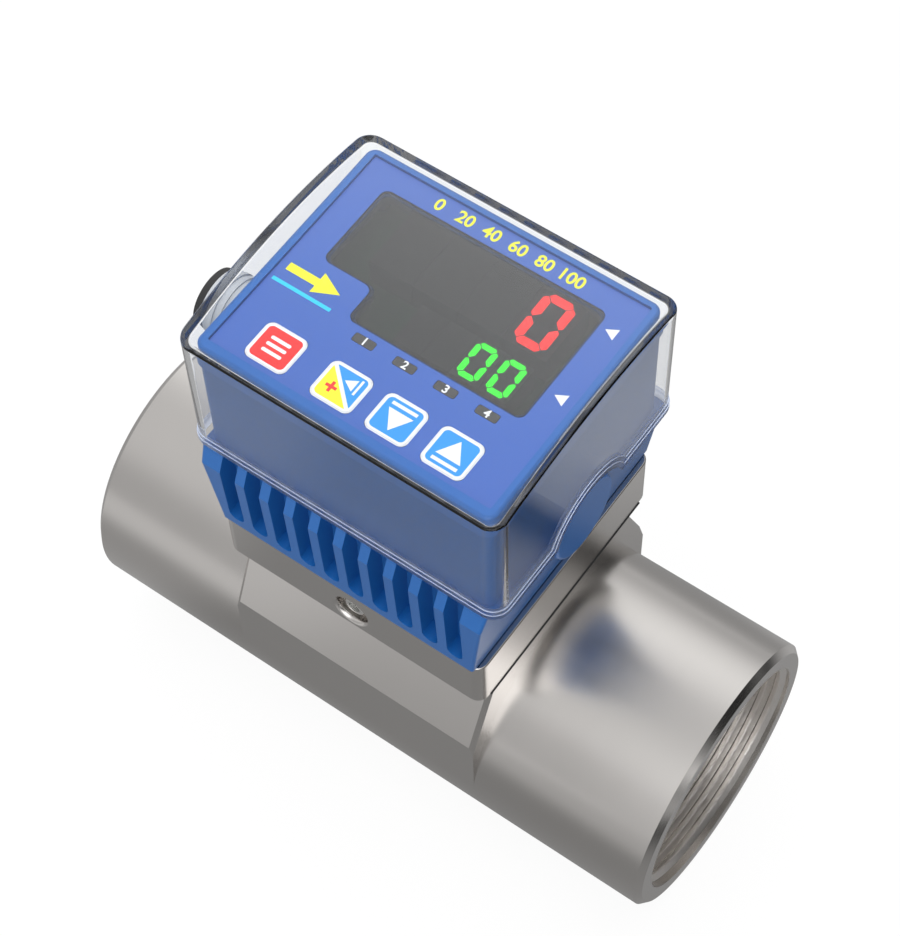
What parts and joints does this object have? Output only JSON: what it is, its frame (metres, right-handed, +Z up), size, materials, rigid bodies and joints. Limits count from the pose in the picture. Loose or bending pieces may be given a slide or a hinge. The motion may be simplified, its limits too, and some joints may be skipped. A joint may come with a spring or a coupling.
{
  "type": "paddle wheel flow meter",
  "caption": "Inline pipe flow meter: a paddle wheel in a threaded steel body turns under a swivelling finned display head with keys, digits and a clear lift-off cover.",
  "frame": {"origin": "centre of the inlet socket's mouth, on the pipe's axis", "axes": "+X along the pipe from inlet to outlet, +Y to the back of the display, +Z up through the display"},
  "size_m": [0.1835, 0.081, 0.1841],
  "materials": {
    "stainless_steel": "turned and milled, satin",
    "fastener_steel": "plain zinc grey",
    "case_blue": "satin blue moulded case",
    "panel_lavender": "printed film",
    "window_grey": "grey tinted film",
    "lens_dark": "dark tinted",
    "digit_red": "seven-segment module face",
    "digit_green": "seven-segment module face",
    "led_clear": "clear resin",
    "key_red": "printed, white border",
    "key_yellow": "printed, white border",
    "key_blue": "printed, white border",
    "cover_clear": "clear moulded polycarbonate",
    "insert_black": "moulded",
    "wheel_white": "moulded",
    "bushing_brown": "self-lubricating plastic",
    "magnet_grey": "sintered",
    "seal_rubber": "matt",
    "board_green": "coated laminate",
    "chip_black": "moulded",
    "terminal_green": "moulded",
    "spigot_brass": "turned",
    "gland_grey": "moulded",
    "lead_grey": "jacketed lead"
  },
  "bodies": {
    "meter_body": {"flow_body": "stainless_steel", "flange_gasket": "seal_rubber", "top_flange": "stainless_steel", "flange_screws": "fastener_steel", "lock_screw": "fastener_steel", "sensor_insert": "insert_black", "insert_seals": "seal_rubber", "rotor_pin": "fastener_steel", "hall_board": "board_green", "hall_sensor": "chip_black"},
    "rotor": {"paddle_wheel": "wheel_white", "rotor_bushings": "bushing_brown", "paddle_magnets": "magnet_grey"},
    "display_head": {"swivel_washer": "seal_rubber", "swivel_spigot": "spigot_brass", "spigot_seal": "seal_rubber", "spigot_screws": "fastener_steel", "housing": "case_blue", "bezel_frame": "case_blue", "bezel_seal": "seal_rubber", "membrane_panel": "panel_lavender", "display_window": "window_grey", "indicator_lenses": "lens_dark", "display_board": "board_green", "red_digits": "digit_red", "green_digits": "digit_green", "indicator_leds": "led_clear", "key_switches": "chip_black", "board_standoffs": "fastener_steel", "power_board": "board_green", "board_screws": "fastener_steel", "terminal_block": "terminal_green", "lead_socket": "chip_black", "sensor_lead": "lead_grey", "gland_body": "gland_grey", "gland_nut": "gland_grey", "gland_seal": "seal_rubber", "gland_locknut": "gland_grey"},
    "cover": {"clear_cover": "cover_clear"},
    "key_set": {"key_set": "key_red"},
    "key_shift": {"key_shift": "key_yellow"},
    "key_down": {"key_down": "key_blue"},
    "key_up": {"key_up": "key_blue"}
  },
  "joints": [
    {"name": "rotor_spin", "type": "hinge", "parent": "meter_body", "child": "rotor", "pos_m": [0.09175, 0, 0.0195], "axis": [0, 1, 0], "continuous": true},
    {"name": "display_swivel", "type": "hinge", "parent": "meter_body", "child": "display_head", "pos_m": [0.09175, 0, 0.0666], "axis": [0, 0, 1], "range_deg": [-90, 90]},
    {"name": "cover_lift", "type": "slide", "parent": "display_head", "child": "cover", "axis": [0, 0, 1], "range_m": [0, 0.06]},
    {"name": "key_set_press", "type": "slide", "parent": "display_head", "child": "key_set", "axis": [0, 0, -1], "range_m": [0, 0.0004], "stiffness_N_per_m": 800, "springref_m": -0.0002},
    {"name": "key_shift_press", "type": "slide", "parent": "display_head", "child": "key_shift", "axis": [0, 0, -1], "range_m": [0, 0.0004], "stiffness_N_per_m": 800, "springref_m": -0.0002},
    {"name": "key_down_press", "type": "slide", "parent": "display_head", "child": "key_down", "axis": [0, 0, -1], "range_m": [0, 0.0004], "stiffness_N_per_m": 800, "springref_m": -0.0002},
    {"name": "key_up_press", "type": "slide", "parent": "display_head", "child": "key_up", "axis": [0, 0, -1], "range_m": [0, 0.0004], "stiffness_N_per_m": 800, "springref_m": -0.0002}
  ]
}
